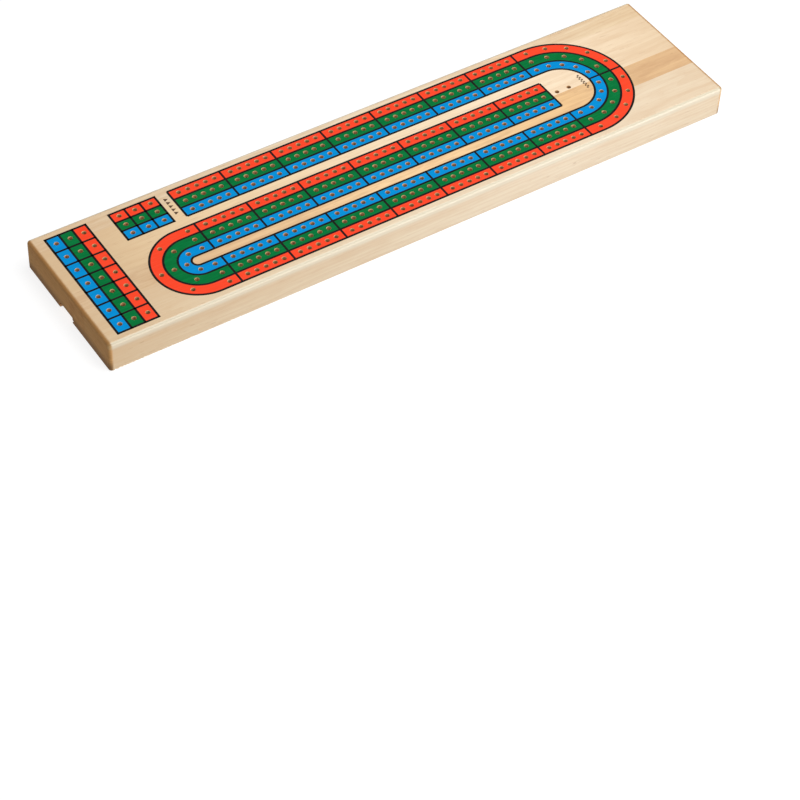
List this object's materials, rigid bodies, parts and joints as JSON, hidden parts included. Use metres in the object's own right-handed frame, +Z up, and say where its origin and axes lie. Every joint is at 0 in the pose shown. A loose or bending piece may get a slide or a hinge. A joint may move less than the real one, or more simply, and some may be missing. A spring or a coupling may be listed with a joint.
{
  "type": "cribbage board",
  "caption": "Long flat wooden cribbage board with a looping coloured track of peg holes and, underneath, a peg compartment closed by a cover that slides out through a notch in one end.",
  "frame": {"origin": "middle of the board's underside", "axes": "+X along the board towards the wide turn of the track, +Y across it towards the start of the track, +Z up"},
  "size_m": [0.3904, 0.0894, 0.019],
  "materials": {
    "maple": "satin lacquered maple",
    "dark_maple": "satin lacquered maple, darker heart stave",
    "golden_maple": "satin lacquered maple, golden stave",
    "nickel_steel": "brushed nickel-plated steel strip",
    "peg_blue": "moulded blue plastic",
    "peg_green": "moulded green plastic",
    "peg_red": "moulded red plastic"
  },
  "bodies": {
    "board": {"near_stave": "maple", "dark_stave": "dark_maple", "light_stave": "maple", "far_stave": "golden_maple", "peg_blue_1": "peg_blue", "peg_blue_2": "peg_blue", "peg_blue_3": "peg_blue", "peg_green_1": "peg_green", "peg_green_2": "peg_green", "peg_green_3": "peg_green", "peg_red_1": "peg_red", "peg_red_2": "peg_red", "peg_red_3": "peg_red"},
    "slide": {"slide_cover": "nickel_steel"}
  },
  "joints": [
    {"name": "cover_slide", "type": "slide", "parent": "board", "child": "slide", "axis": [-1, 0, 0], "range_m": [0, 0.124]}
  ]
}
